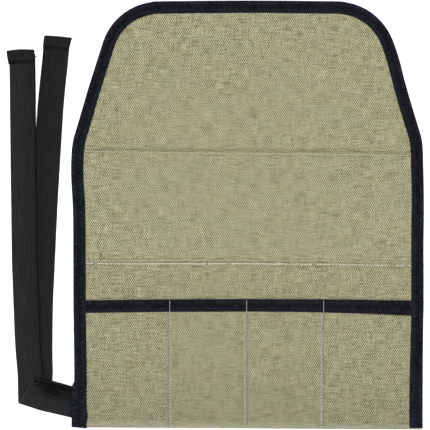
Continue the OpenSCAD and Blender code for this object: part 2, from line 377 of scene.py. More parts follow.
# Painted shade darkens the strip above the mouth towards it, and the pocket front towards the bottom fold; a
# band just above the mouth tape is painted lighter against that tape's shadow.
CANVAS_BODY = canvas_material("canvas_body", srgb(125.5, 123, 96), 40.0, 1.08, [
    (-100, -130, (0.91, 0.91, 0.91, 1)), (-125.5, -129.5, (1.14, 1.14, 1.13, 1)),
    (-256, -262, (0.76, 0.78, 0.79, 1)), (-262, -330, (1.16, 1.17, 1.16, 1)),
], worn_and_highlit=(-263, -256), painted_shade_lines=[(-255.5, 1.2, 0.22)])
TAPE = tape_material("binding_tape", srgb(12, 13, 17), 60.0)
WEBBING_TONE = srgb(26, 26, 28)
WEBBING = webbing_material("webbing_hems", WEBBING_TONE, 80.0, edges=(0.75, 0.62), strap=False)
PALE_THREAD = thread_material("pale_thread", srgb(190, 189, 177))
GREY_THREAD = thread_material("grey_thread", srgb(168, 166, 157))
ECRU_THREAD = thread_material("ecru_thread", srgb(168, 165, 141))
# thread painted darker, for painted shade beside the divider rows
SHADED_THREAD = thread_material("shaded_thread", srgb(136, 133, 112))
DARK_THREAD = thread_material("dark_thread", srgb(12, 12, 16))


# ---- mesh helpers

def finish_mesh(name, verts, faces, uvs, material):
    mesh = bpy.data.meshes.new(name)
    mesh.from_pydata([tuple(p) for p in verts], [], faces)
    layer = mesh.uv_layers.new(name="cloth")
    index = np.empty(len(mesh.loops), dtype=np.int64)
    mesh.loops.foreach_get("vertex_index", index)
    layer.data.foreach_set("uv", np.asarray(uvs, dtype=np.float32)[index].ravel())
    mesh.polygons.foreach_set("use_smooth", [True] * len(mesh.polygons))
    mesh.set_sharp_from_angle(angle=math.radians(50))
    mesh.materials.append(material)
    mesh.validate()
    piece = bpy.data.objects.new(name, mesh)
    bpy.context.collection.objects.link(piece)
    return piece


def loft(name, rings, uvs, material):
    """Joins closed sections, each the same number of points, into one closed skin with flat ends."""
    rings = np.asarray(rings, dtype=float)
    n, k = rings.shape[:2]
    faces = []
    for r in range(n - 1):
        for c in range(k):
            d = (c + 1) % k
            faces.append((r * k + c, r * k + d, (r + 1) * k + d, (r + 1) * k + c))
    faces.append(tuple(range(k - 1, -1, -1)))
    faces.append(tuple((n - 1) * k + c for c in range(k)))
    flat = rings.reshape(-1, 3)
    # a skin that has come out inside out encloses less than nothing, and is turned
    corners = [(f[0], f[a], f[a + 1]) for f in faces for a in range(1, len(f) - 1)]
    if sum(np.dot(flat[a], np.cross(flat[b], flat[c])) for a, b, c in corners) < 0:
        faces = [tuple(reversed(f)) for f in faces]
    return finish_mesh(name, flat, faces, np.asarray(uvs, dtype=float).reshape(-1, 2), material)


def spread(start, end, step, fine=(), fine_step=0.8, reach=7):
    """Positions from start up to end, a step in mm apart, closer together around the places in fine."""
    reach *= MM
    stops = sorted({start, end, *[min(max(f + s, start), end) for f in fine for s in (-reach, reach)]})
    found = [start]
    for a, b in zip(stops, stops[1:]):
        close = any(abs((a + b) / 2 - f) <= reach for f in fine)
        count = max(1, round((b - a) / ((fine_step if close else step) * MM)))
        found += [a + (b - a) * i / count for i in range(1, count + 1)]
    return found


def ease(t):
    """0 to 1 with level ends."""
    t = min(1.0, max(0.0, t))
    return t * t * (3 - 2 * t)


def fade(distance, reach):
    """0 to 1 with level ends, as the distance grows from nothing to the reach in mm."""
    return ease(distance / (reach * MM))


def ripple(x, y, size, seed):
    """Slow unevenness, from 0 to 1, in patches about this many mm across."""
    return 0.5 + 0.5 * noise.noise(Vector((x / (size * MM), y / (size * MM), seed)))


def hump(distance, reach, height):
    """How high a smooth swelling is at this distance from its middle; reach and height are in mm."""
    return height * MM * math.exp(-(distance / (reach * MM)) ** 2)


def rounded(distance, reach, depth):
    """How far a surface has fallen at this distance from its edge, rounded over a reach in mm."""
    return depth * max(0.0, 1 - distance / (reach * MM)) ** 2


def run_along(line):
    """How far along the line each of its points is."""
    return np.concatenate([[0], np.cumsum(np.linalg.norm(np.diff(line, axis=0), axis=1))])


# ---- thread

THREAD_SIDES = 6


def add_thread(verts, faces, uvs, points, radius):
    """Adds one piece of thread along the points to a mesh: a tube with narrowed, closed ends."""
    points = [np.asarray(p, dtype=float) for p in points]
    first, n, run = len(verts), len(points), 0.0
    for k, p in enumerate(points):
        ahead = points[min(k + 1, n - 1)] - points[max(k - 1, 0)]
        ahead /= np.linalg.norm(ahead) + 1e-12
        across = np.cross(ahead, (0.0, 0.0, 1.0))
        across /= np.linalg.norm(across) + 1e-12
        up = np.cross(across, ahead)
        r = radius * (0.55 if k in (0, n - 1) else 1.0)
        run += float(np.linalg.norm(p - points[k - 1])) if k else 0.0
        for c in range(THREAD_SIDES):
            a = 2 * math.pi * c / THREAD_SIDES
            verts.append(p + across * r * math.cos(a) + up * r * math.sin(a))
            uvs.append((run, r * a))
    for k in range(n - 1):
        for c in range(THREAD_SIDES):
            d = (c + 1) % THREAD_SIDES
            a, b = first + k * THREAD_SIDES, first + (k + 1) * THREAD_SIDES
            faces.append((a + c, a + d, b + d, b + c))
    faces.append(tuple(first + c for c in range(THREAD_SIDES - 1, -1, -1)))
    faces.append(tuple(first + (n - 1) * THREAD_SIDES + c for c in range(THREAD_SIDES)))


def stitch_line(mesh, line, length, gap, radius, chance, waver=0.12, keep=1.0, zigzag=0.0):
    """Adds a row of separate stitches along a line of points that lies on the cloth's upper face.

    Each stitch rises out of the cloth and dives into it again, a little crooked and uneven, and
    keep is the share of them that still shows. The other sizes are in mm.
    """
    length, gap, radius, waver, zigzag = (size * MM for size in (length, gap, radius, waver, zigzag))
    line = np.asarray(line, dtype=float)
    way = run_along(line[:, :2])

    def at(s):
        return np.array([np.interp(s, way, line[:, k]) for k in range(3)])

    s, turn = chance.uniform(0, gap), 1
    while s + length < way[-1]:
        long = length * chance.uniform(0.86, 1.1)
        turn = -turn
        side_a = chance.uniform(-waver, waver) - turn * zigzag
        side_b = chance.uniform(-waver, waver) + turn * zigzag
        points = []
        for t, height in ((0, -0.5), (0.12, 0.25), (0.35, 0.7), (0.65, 0.75), (0.88, 0.3), (1, -0.5)):
            here = at(s + long * t)
            ahead = at(s + long * t + 0.2 * MM) - at(s + long * t - 0.2 * MM)
            ahead /= np.linalg.norm(ahead) + 1e-12
            here = here + np.array((ahead[1], -ahead[0], 0.0)) * (side_a + (side_b - side_a) * t)
            here[2] += height * radius
            points.append(here)
        if chance.random() < keep:
            add_thread(*mesh, points, radius * chance.uniform(0.85, 1.12))
        s += long + gap * chance.uniform(0.7, 1.3)


def stitch_row(name, line, length, gap, radius, material, **loose):
    """One row of stitches as a piece of its own."""
    mesh = ([], [], [])
    stitch_line(mesh, line, length, gap, radius, random.Random(name), **loose)
    return finish_mesh(name, *mesh, material)


# ---- the tie's two tails

# The middle of each tail in mm, from where it is sewn behind the tape to its hem: across, and up from
# the bottom fold. The fourth point is the turn.
RIGHT_TAIL = [
    (-168, 26.6), (-176, 29.0), (-188, 32.7), (-200.4, 36.6), (-200.1, 52), (-200.5, 69), (-200.5, 87),
    (-200, 121), (-199, 142), (-198.1, 162), (-196.8, 190), (-195.4, 219), (-193.7, 248), (-191.9, 277),
    (-189.7, 311), (-187.5, 334), (-185.6, 352), (-183.6, 375.5),
]
LEFT_TAIL = [
    (-168, 22.6), (-176, 24.4), (-192, 28.2), (-208, 32.7), (-209, 52), (-210.6, 69), (-211.8, 87),
    (-213.2, 121), (-214, 142), (-214.6, 162), (-215, 190), (-215.4, 219), (-215.8, 248), (-216.2, 285),
    (-216.4, 305), (-216.6, 325), (-216.9, 345), (-217.2, 362.3),
]
TURN = 3
WEBBING_T = 1.25 * MM
HALF = 12.5 * MM
HEM_L = 12 * MM
# How far from the turn a tail's square sections stop, and start again
LEG_END = 13 * MM
LEG_START = 15 * MM
# Positions across a strap from its left or lower edge, 0, to its other edge, 1
ACROSS = [0, 0.012, 0.035, 0.07, *[0.1 + 0.8 * k / 40 for k in range(41)], 0.93, 0.965, 0.988, 1]
# and its shader's coordinate over its upper face and back over its underside
AROUND = [w * 2 * HALF for w in ACROSS + ACROSS[::-1]]


def tie_points(tail):
    return [np.array((x * MM, BOTTOM + y * MM)) for x, y in tail]


def smooth(points, step):
    """Evenly spaced places and headings along one smooth curve through the points."""
    line = [2 * points[0] - points[1], *points, 2 * points[-1] - points[-2]]
    found = []
    for a, b, c, d in zip(line, line[1:], line[2:], line[3:]):
        count = max(1, round(np.linalg.norm(c - b) / step))
        for k in range(count):
            t = k / count
            square, cube = 2 * a - 5 * b + 4 * c - d, 3 * b - a - 3 * c + d
            place = 0.5 * (2 * b + (c - a) * t + square * t * t + cube * t ** 3)
            heading = 0.5 * ((c - a) + 2 * square * t + 3 * cube * t * t)
            found.append((place, heading / np.linalg.norm(heading)))
    end = points[-1] - points[-2]
    found.append((points[-1], end / np.linalg.norm(end)))
    return found


def to_the_right(heading):
    return np.array((heading[1], -heading[0]))


def strap_ring(near, far, under):
    """One section of a strap: near and far are its edges, under(place, across) its underside's height."""
    top, bottom = [], []
    for w in ACROSS:
        place = near + (far - near) * w
        edge = min(w, 1 - w) * 2 * HALF
        round_off = rounded(edge, 0.9, 0.3 * WEBBING_T)
        selvedge = hump(edge - 1.6 * MM, 0.8, 0.07)
        z = under(place, w)
        top.append((place[0], place[1], z + WEBBING_T - round_off + selvedge))
        bottom.append((place[0], place[1], z + round_off))
    return top + bottom[::-1]


def strap(side, sections, exit_y, pieces, edges, crease=None):
    """A strap through its sections, each (near edge, far edge, underside), attached with its other pieces to
    the first column.

    edges is its tone along its two edges, and crease the number of the section at which it is folded.
    """
    rings, uvs, path, run = [], [], [], 0.0
    for near, far, under in sections:
        rings.append(strap_ring(near, far, under))
        path.append(np.mean(rings[-1], axis=0))
        run += float(np.linalg.norm(path[-1] - path[-2])) if len(path) > 1 else 0.0
        uvs.append([(run, v) for v in AROUND])
    folded_at = uvs[crease][0][0] / MM if crease else None
    piece = loft(f"strap_{side}", rings, uvs,
                 webbing_material(f"webbing_{side}", WEBBING_TONE, 90.0 + len(rings), edges, folded_at))
    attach(piece, "column_1")
    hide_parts(f"webbing_tail_{side}")
    for extra in pieces:
        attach(extra, "column_1")


def pleat(u, v, start, end, height, width):
    """A ridge from start to end, both (away from the roll, up from the fold) in mm like its other sizes."""
    a, b = np.array(start) * MM, np.array(end) * MM
    p = np.array((u, v))
    t = float(np.dot(p - a, b - a) / np.dot(b - a, b - a))
    off = np.linalg.norm(p - (a + (b - a) * min(1.0, max(0.0, t))))
    return hump(off, width, height) * ease(min(t + 0.25, 1.25 - t) * 4)


def between(one, other, shares, under):
    """Sections on the way from one section to another, each at one of the shares of it."""
    return [(one[0] + (other[0] - one[0]) * t, one[1] + (other[1] - one[1]) * t, under) for t in shares]


def exit_leg(tail, under):
    """Sections from the exit almost to the turn, square to the strap's own way."""
    points = tie_points(tail)[:TURN + 1]
    points[0] = points[0] + np.array((1.2 * MM, -0.35 * MM))
    found = []
    for place, heading in smooth(points, 0.8 * MM):
        if np.linalg.norm(place - points[-1]) < LEG_END:
            break
        side = to_the_right(heading) * HALF
        # sheared so that the first section runs along the tape's edge
        lean = ease(1 - len(found) / 12)
        shear = heading * float(np.dot(side, (1.0, 0.0)) / -heading[0]) * lean
        found.append((place - side - shear, place + side + shear, under))
    return found


def long_leg(tail, near, far, under):
    """Sections up a tail's long leg. It begins from the line near to far, and soon turns square."""
    points = tie_points(tail)[TURN:]
    found = []
    for place, heading in smooth(points, 3 * MM):
        way = np.linalg.norm(place - points[0])
        if way > np.linalg.norm(points[-1] - points[0]) - 0.8 * MM:
            break
        side = to_the_right(heading) * HALF
        if way >= LEG_START:
            found.append((place - side, place + side, under))
    return between((near, far), found[0], [k / 16 for k in range(16)], under) + found


def right_tail_edge(y):
    """Where the right tail's left edge is at this height up its long leg."""
    xs, ys = zip(*tie_points(RIGHT_TAIL)[TURN:])
    return float(np.interp(y, ys, xs)) - HALF


def slack(place, size, seed, height):
    """How far a slack strap is off what it lies on, up to a height in mm, in patches of a size in mm."""
    return height * MM * ripple(place[0], place[1], size, seed)


def right_under(place, w):
    """The right tail lies flat, bunched along its upper edge between its turn and the tape."""
    z = slack(place, 60, 31.0, 0.5) + slack(place, 18, 32.0, 0.12)
    u, v = -SIDE - place[0], place[1] - BOTTOM
    z += hump(math.hypot((u - 24 * MM) * 0.5, v - 44.5 * MM), 6, 3.4)
    z -= pleat(u, v, (3, 37.0), (36, 46.0), 3.0, 1.0)
    z -= pleat(u, v, (18, 45.0), (38, 50.0), 2.4, 1.0)
    return max(0.05 * MM, z)


def left_leg_under(place, w):
    """The left tail's first leg lies on the right tail's, and rises over its own turn."""
    u, v = -SIDE - place[0], place[1] - BOTTOM
    z = 1.45 * MM + slack(place, 30, 33.0, 0.3)
    z += 1.4 * MM * fade(u - 20 * MM, 14)
    z += hump(math.hypot(u - 26 * MM, (v - 38 * MM) * 1.6), 14, 3.2)
    z -= pleat(u, v, (13, 35.2), (34, 43.2), 3.8, 1.3)
    z -= pleat(u, v, (15, 32.4), (30, 38.6), 2.2, 0.9)
    z += pleat(u, v, (12, 25), (36, 32), 1.2, 2.6)
    z -= pleat(u, v, (2, 18), (26, 24), 1.1, 1.8)
    return max(1.2 * MM, z + 0.4 * MM * fade(4 * MM - u, 8))


def left_under(place, w):
    """Up its long leg the left tail hangs from the right tail's edge down to the floor."""
    on_it = fade(place[0] - right_tail_edge(place[1]) + 8 * MM, 8)
    over = right_under(place, 0.5) + WEBBING_T if place[1] < BOTTOM + 312 * MM else 0.0
    near_turn = fade(BOTTOM + 62 * MM - place[1], 20)
    z = slack(place, 60, 34.0, 0.5) + slack(place, 18, 35.0, 0.12)
    over_it = over * max(on_it, 0.75 * near_turn) + 0.12 * MM * on_it
    return max(0.05 * MM, z + over_it)


def tail_end(tail):
    """A tail's end and its heading there."""
    before, end = tie_points(tail)[-2:]
    return end, (end - before) / np.linalg.norm(end - before)


def hem_piece(name, tail, corners, under, bow):
    """A tail's end folded over to the front; its corners are (across, along) in mm from the end's middle."""
    end, heading = tail_end(tail)
    side = to_the_right(heading)
    low_left, low_right, high_right, high_left = np.array(corners) * MM
    rows = [0, 0.015, 0.05, 0.1, 0.16, *[0.2 + 0.7 * k / 9 for k in range(10)], 0.95, 0.985, 1]
    rings, uvs = [], []
    for r in rows:
        left = end + (low_left + (high_left - low_left) * r) @ (side, heading)
        right = end + (low_right + (high_right - low_right) * r) @ (side, heading)
        distance = r * HEM_L
        ring_top, ring_bottom = [], []
        for w in ACROSS:
            place = left + (right - left) * w + heading * bow * MM * math.sin(math.pi * w) * (1 - r)
            edge = min(w, 1 - w) * 2 * HALF
            floor_z = under(place, w)
            full = 2.05 * WEBBING_T + 0.25 * MM * ripple(place[0], place[1], 9, 41.0)
            full -= hump(distance - 10.2 * MM, 1.1, 1.4)
            tip = rounded(distance, 1.2, 0.5 * full)
            last = rounded(HEM_L - distance, 0.6, 0.35 * WEBBING_T)
            side_round = rounded(edge, 1.0, 0.3 * WEBBING_T)
            inside = WEBBING_T * 0.98 * fade(distance - 1.6 * MM, 0.8)
            ring_top.append((*place, floor_z + full - tip - last - side_round))
            ring_bottom.append((*place, floor_z + min(inside, full - 0.6 * MM) + tip * 0.8))
        rings.append(ring_top + ring_bottom[::-1])
        uvs.append([(distance, v) for v in AROUND])
    piece = loft(name, rings, uvs, WEBBING)
    return piece


def hem_top(tail, under, along, across):
    """A place on a hem's upper face, along mm back from the end and across mm right of the middle."""
    end, heading = tail_end(tail)
    place = end - heading * along * MM + to_the_right(heading) * across * MM
    return (*place, under(place, 0.5) + 2.05 * WEBBING_T - 0.9 * MM)


def sew_hem(side, hem, tail, under, seam):
    """A tail's hem with the stitches along its seam, whose points are (along, across) in mm."""
    line = [hem_top(tail, under, along, across) for along, across in seam]
    sewing = stitch_row(f"hem_{side}_stitches", line, 2.6, 0.9, 0.36, DARK_THREAD)
    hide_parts(f"tail_hem_{side}")
    return [hem, sewing]


def make_loose_end():
    """The end of the left hem's thread, left uncut."""
    base = np.array(hem_top(LEFT_TAIL, left_under, 5.6, 11.8))
    route = (
        (-1.6, 0.4, 1.0), (-0.6, 0.1, 1.3), (0.4, -0.3, 1.2),
        (1.4, -0.2, 0.7), (2.3, 0.3, 0.2), (3.0, 1.0, -0.2),
    )
    mesh = ([], [], [])
    add_thread(*mesh, [base + np.array(p) * MM for p in route], 0.36 * MM)
    piece = finish_mesh("loose_thread_end", *mesh, DARK_THREAD)
    return piece


def make_ties():
    """Both tails with their hems; the left one lies on the right one and turns over itself."""
    outer = np.array((-220.2 * MM, BOTTOM + 24.2 * MM))
    crease_top = np.array((-206.2 * MM, BOTTOM + 46.2 * MM))
    tuck = np.array((-199.0 * MM, BOTTOM + 44.8 * MM))
    beyond = np.array((-0.84, 0.54)) * MM
    left = exit_leg(LEFT_TAIL, left_leg_under)
    left += between(left[-1], (outer, crease_top), [k / 20 for k in range(1, 21)], left_leg_under)
    crease = len(left) - 1
    left.append((outer + 0.3 * beyond, crease_top + 0.5 * beyond,
                 lambda place, w: left_leg_under(place, w) * 0.8))
    left.append((outer + 0.5 * beyond, (crease_top + tuck) / 2 + 0.6 * beyond,
                 lambda place, w: left_leg_under(place, w) * 0.5))
    left += long_leg(LEFT_TAIL, outer + 0.8 * beyond, tuck, left_under)

    corner = tie_points(RIGHT_TAIL)[TURN]
    outside = corner - np.array((11.2 * MM, 9.8 * MM))
    inside = corner + np.array((12.6 * MM, 8.6 * MM))
    right = exit_leg(RIGHT_TAIL, right_under)
    right += between(right[-1], (outside, inside), [k / 16 for k in range(1, 17)], right_under)
    right += long_leg(RIGHT_TAIL, outside + 0.3 * beyond, inside + 0.3 * beyond, right_under)

    left_hem = hem_piece("hem_left", LEFT_TAIL,
                         [(-15.0, 0.6), (11.8, 1.2), (12.1, -11.6), (-13.4, -12.2)], left_under, 1.0)
    right_hem = hem_piece("hem_right", RIGHT_TAIL,
                          [(-12.2, 1.0), (14.4, 1.0), (12.2, -11.8), (-12.8, -10.6)], right_under, 0.3)
    left_end = sew_hem("left", left_hem, LEFT_TAIL, left_under,
                       [(10.4 + 0.3 * math.sin(k), -12 + 23.5 * k / 24) for k in range(25)])
    right_end = sew_hem("right", right_hem, RIGHT_TAIL, right_under,
                        [(10.2 + (2.2 if k < 9 else 0.0), -11 + 22 * k / 24) for k in range(25)])
    strap("left", left, BOTTOM + 24 * MM, [*left_end, make_loose_end()], (1.14, 0.74), crease)
    # the right tail's left edge is painted darker: painted shadow of the left tail beside it
    strap("right", right, BOTTOM + 27 * MM, right_end, (0.54, 0.8))


make_ties()


# ---- surfaces of the cloth

def margin_lift(distance_in):
    """The bound margin lies on the tape's under leg."""
    return TAPE_T * fade(TAPE_W + 2 * MM - distance_in, 3)


def buckle(x, y):
    """How far the whole roll is off the floor where it doesn't quite lie flat."""
    return 0.22 * MM * ripple(x, y, 55, 1.0)


def body_mid(x, y):
    return BODY_MID + buckle(x, y) + margin_lift(SIDE - abs(x))


def pocket_rise(x, y):
    """How far the pocket cloth, lying slack and empty, stands off: nothing along its seams."""
    i = sum(x > d for d in DIVIDERS)
    left = -SIDE + TAPE_W if i == 0 else EDGES[i] + SEWN
    right = SIDE - TAPE_W if i == 3 else EDGES[i + 1] - SEWN
    across = (2 * x - left - right) / (right - left)
    up = min(1.0, max(0.0, (y - BOTTOM - 4 * MM) / (MOUTH - BOTTOM - 4 * MM)))
    bow = max(0.0, 1 - across ** 4)
    full = REST_RISE * bow * (1 - (1 - up) ** 2)
    loose = 0.5 * MM * (ripple(x, y, 26, 2.0 + i) - 0.5) * ease(bow * 3)
    return full + loose * up


def pocket_mid(x, y):
    lift = margin_lift(SIDE - abs(x))
    return POCKET_MID + 0.1 * MM + buckle(x, y) + lift * 0.6 + pocket_rise(x, y)


def front_mid(x, y):
    """Middle of the turned-up cloth, from the round of the bottom fold up to the mouth."""
    t = fade(y - BOTTOM - 2.6 * MM, 6.5)
    valley = min(abs(x - d) for d in DIVIDERS)
    dip = hump(valley, 1.4, 0.4) * fade(y - BOTTOM - 1 * MM, 4)
    return (2 * FOLD_R + CLOTH_T / 2) * (1 - t) + pocket_mid(x, y) * t - dip


# ---- pieces in three across-the-body parts

# The cloth is cut in the middle of the second and third columns, where nothing bends, so that each part
# crosses one divider, about which the roll bends between that part's two columns.
Part = namedtuple("Part", "name divider_no start end divider columns")
PARTS = [
    Part("left", 1, -SIDE, MIDS[1], DIVIDERS[0], (1,)),
    Part("middle", 2, MIDS[1], MIDS[2], DIVIDERS[1], (2, 3)),
    Part("right", 3, MIDS[2], SIDE, DIVIDERS[2], (4,)),
]


def trimmed(part, margin):
    """Where a part starts and ends, this far in from the roll's own sides."""
    return max(part.start, -SIDE + margin), min(part.end, SIDE - margin)


def declare(piece, part, slot, *kinds):
    """Bakes a piece's placement into its mesh; kinds are the CAD nodes that it replaces in its columns."""
    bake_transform(piece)
    if kinds:
        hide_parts(*[f"{kind}_{n}" for kind in kinds for n in part.columns])


def offset_line(line, half):
    """Two lines beside a line of (y, z) points, half to each side of it."""
    way = np.gradient(line, axis=0)
    way /= np.linalg.norm(way, axis=1)[:, None] + 1e-12
    across = np.stack([-way[:, 1], way[:, 0]], axis=1)
    return line + across * half, line - across * half


def hang(x, y):
    """Near its bottom fold the cloth was turned up askew: it hangs lower towards the right."""
    return y - (0.42 + 1.05 * x / SIDE) * MM * fade(BOTTOM + 25 * MM - y, 25)


def body_section(x):
    """The body's cloth seen from the side: down its length, round the bottom fold, up to the mouth."""
    down = [(y, body_mid(x, y)) for y in spread(BOTTOM + 8 * MM, JOIN, 4)[::-1]]
    centre_y = BOTTOM + FOLD_R + CLOTH_T / 2
    centre_z = FOLD_R + CLOTH_T / 2
    down += [(y, body_mid(x, y)) for y in (BOTTOM + 6 * MM, BOTTOM + 4.5 * MM)]
    turn = [
        (centre_y - FOLD_R * math.sin(a), centre_z - FOLD_R * math.cos(a))
        for a in (math.pi * k / 10 for k in range(11))
    ]
    rising = [BOTTOM + y * MM for y in (2.6, 3.4, 4.2, 5.0, 6.0, 7.2, 8.6, 10.5)]
    rising += spread(BOTTOM + 13 * MM, MOUTH - 0.9 * MM, 3)
    return [(hang(x, y), z) for y, z in down + turn + [(y, front_mid(x, y)) for y in rising]]


def make_body_cloth(part):
    start, end = trimmed(part, 1.0 * MM)
    rings, uvs = [], []
    for x in spread(start, end, 2.6, [part.divider]):
        line = np.array(body_section(x))
        one, other = offset_line(line, CLOTH_T / 2)
        loop = np.concatenate([one, other[::-1]])
        run = run_along(line)
        runs = np.concatenate([run, run[::-1]])
        rings.append([(x, y, z) for y, z in loop])
        uvs.append([(x, -s) for s in runs])
    piece = loft(f"body_cloth_{part.name}", rings, uvs, CANVAS_BODY)
    declare(piece, part, "canvas", "canvas", "pocket")


BAND_HEM = 3.5 * MM


def band_lower(x):
    """The band was sewn on a little crooked: both edges fall towards the right."""
    return BAND_LOW - 1.3 * MM - 1.7 * MM * x / SIDE + 0.4 * MM * (ripple(x, 0, 60, 7.0) - 0.5)


def band_upper(x):
    return FOLD + 0.85 * MM - 1.5 * MM * (1 + x / SIDE)


# How far apart the band's lowest and highest rows of stitches are in its shader's coordinates
BAND_ROWS = 104 * MM


def band_rows(x):
    """Where the band's rows of stitches run: two along its lower edge, one along its upper."""
    drift = 1.55 * MM * ease((x + 0.9 * SIDE) / (1.1 * SIDE)) - 0.4 * MM * ease(2 * x / SIDE - 1)
    lowest = band_lower(x) + 0.9 * MM + drift
    return lowest, lowest + 3.3 * MM, band_upper(x) - 1.9 * MM - 0.5 * MM * (1 + x / SIDE)


def band_mid(x, y):
    return body_mid(x, y) + CLOTH_T + 0.05 * MM


def band_top(x, y):
    """Upper face of the band: fuller where its edges are turned under, pressed in along its stitches."""
    edge = min(y - band_lower(x), band_upper(x) - y)
    hem = 0.55 * MM * fade(BAND_HEM + 1.5 * MM - edge, 1.5)
    loose = 0.35 * MM * ripple(x, y, 34, 5.0) * fade(edge - 5 * MM, 15)
    lowest = band_rows(x)[0]
    dip = sum(hump(y - row, 0.9, 0.3) for row in band_rows(x))
    dip += sum(hump(y - lowest - up, 0.6, 0.3) for up in (1.7 * MM, 4.4 * MM))
    return band_mid(x, y) + CLOTH_T / 2 + hem + loose - dip


def make_band(part):
    start, end = trimmed(part, 1.2 * MM)
    rings, uvs = [], []
    for x in spread(start, end, 2.6, [part.divider]):
        lower, upper = band_lower(x), band_upper(x)
        lowest, _, highest = band_rows(x)
        near = [7 * MM * k / 14 for k in range(14)]
        ys = [lower + d for d in near]
        ys += [lower + 7 * MM + (upper - lower - 14 * MM) * k / 32 for k in range(32)]
        ys += [upper - 7 * MM] + [upper - d for d in near[::-1]]
        over = []
        for y in ys:
            edge = min(y - lower, upper - y)
            over.append((x, y, band_top(x, y) - rounded(edge, 0.7, 0.55 * MM)))
        under = [(x, y, band_mid(x, y) - CLOTH_T / 2) for y in ys[::-1]]
        rings.append(over + under)
        uvs.append([(x, BAND_ROWS * (y - lowest) / (highest - lowest)) for x, y, _ in over + under])
    piece = loft(f"band_{part.name}", rings, uvs, CANVAS_BAND)
    declare(piece, part, "canvas", "band")


def make_band_stitches(part):
    """A bright row and a duller one along the band's lower edge, and another along its upper edge."""
    xs = spread(*trimmed(part, TAPE_W), 1.5)
    chance = random.Random(part.name)
    bright, dull = ([], [], []), ([], [], [])

    def row(k):
        return [(x, band_rows(x)[k], band_top(x, band_rows(x)[k]) + 0.12 * MM) for x in xs]

    # the rows are worn towards the right: shorter stitches with more of them missing
    if part.name == "right":
        stitch_line(bright, row(0), 2.5, 1.2, 0.58, chance, waver=0.3, keep=0.9)
        thin = 0.44
    else:
        stitch_line(bright, row(0), 3.1, 0.6, 0.72, chance, waver=0.3, keep=0.97)
        thin = 0.53
    stitch_line(dull, row(1), 3.0, 0.6, thin, chance, waver=0.25, keep=0.9)
    stitch_line(dull, row(2), 2.6, 0.5, 0.7, chance, waver=0.35, keep=0.95)
    bright_row = finish_mesh(f"band_stitches_bright_{part.name}", *bright, PALE_THREAD)
    declare(bright_row, part, "thread", "band_stitching")
    declare(finish_mesh(f"band_stitches_dull_{part.name}", *dull, ECRU_THREAD), part, "thread")


def make_divider_stitches(part):
    """A doubled row up between two pockets, with its seam's loops beside it in darker thread as painted shade
    of the seam's hollow.

    It goes on over the binding, and past it at the right-hand divider.
    """
    i = part.divider_no
    chance = random.Random(f"divider {part.name}")
    mesh, sunken = ([], [], []), ([], [], [])
    # how far right the row strays from the thread over the binding, and on which side its seam is shaded
    stray, shaded = {1: (0.1 * MM, -1), 2: (-1.0 * MM, 1), 3: (-1.4 * MM, 1)}[i]

    def x_at(y):
        return part.divider + 0.5 * MM + 0.5 * MM * (ripple(0, y, 40, 50.0 + i) - 0.5)

    ys = spread(BOTTOM + 1.2 * MM, MOUTH - TAPE_W + 0.2 * MM, 1.5)
    line = [(x_at(y), hang(x_at(y), y), front_mid(x_at(y), y) + CLOTH_T / 2 + 0.12 * MM) for y in ys]
    for aside in (0.0, -0.95 * MM * shaded):
        beside = [(x + stray + aside, y, z) for x, y, z in line]
        stitch_line(mesh, beside, 1.9, 1.0, 0.48, chance, zigzag=0.6)
    # painted shade: darker loops where the seam's hollow lies in shadow
    beside = [(x + stray + 1.15 * MM * shaded, y, z - 0.1 * MM) for x, y, z in line]
    stitch_line(sunken, beside, 2.0, 0.9, 0.45, chance, zigzag=0.4)
    lift = CLOTH_T / 2 + TAPE_T
    ys = spread(MOUTH - TAPE_W - 0.3 * MM, MOUTH + 0.1 * MM, 1)
    line = [(x_at(y), y, front_mid(x_at(y), min(y, MOUTH - 0.9 * MM)) + lift) for y in ys]
    line[0] = (*line[0][:2], line[0][2] - 0.6 * MM)
    line[-1] = (*line[-1][:2], line[-1][2] - 1.0 * MM)
    add_thread(*mesh, line, 0.26 * MM)
    if i == 3:
        ys = spread(MOUTH + 1 * MM, MOUTH + 10 * MM, 1)
        line = [(x_at(y), y, body_mid(x_at(y), y) + CLOTH_T / 2 + 0.05 * MM) for y in ys]
        stitch_line(mesh, line, 1.8, 0.9, 0.2, chance)
    row = finish_mesh(f"divider_stitches_{i}", *mesh, GREY_THREAD)
    declare(row, part, "thread")
    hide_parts(f"divider_stitching_{i}")
    declare(finish_mesh(f"divider_loops_{i}", *sunken, SHADED_THREAD), part, "thread")


def tape_profile(width, inner, back):
    """A folded tape's closed section: (distance in from its outer edge, height outside the cloth's mid line).

    inner is half the thickness of what it wraps, and back the length of its hidden leg. The front leg's
    free edge is turned under, so it is thicker there, with a groove where it is stitched.
    """
    turned_under = (
        (0, 0), (0.12, 0.5), (-0.1, 1.1), (-0.8, 1.35), (-1.5, 1.15), (-2.0, 0.95), (-2.5, 1.15), (-3.5, 1.4),
        (-4.6, 1.2),
    )
    round_edge = ((1.6, 0.95), (0.9, 0.75), (0.4, 0.3))
    front = [(width + a * MM, inner + TAPE_T * b) for a, b in turned_under]
    front += [(width * a, inner + TAPE_T) for a in (0.5, 0.36, 0.22)]
    front += [(a * MM, inner + TAPE_T * b) for a, b in round_edge]
    wall = [(0.1 * MM, inner * 0.5), (0.0, 0.0), (0.1 * MM, -inner * 0.5)]
    rear = [(a * MM, -inner - TAPE_T * b) for a, b in round_edge[::-1]]
    rear += [(back * 0.5, -inner - TAPE_T), (back - 0.4 * MM, -inner - TAPE_T), (back, -inner - TAPE_T * 0.6)]
    rear += [(back - 0.1 * MM, -inner), (back * 0.5, -inner)]
    hollow = [(a * MM, inner * b) for a, b in ((1.2, -1), (0.7, -0.6), (0.6, 0.0), (0.7, 0.6), (1.2, 1))]
    return front + wall + rear + hollow + [(width * 0.5, inner)]


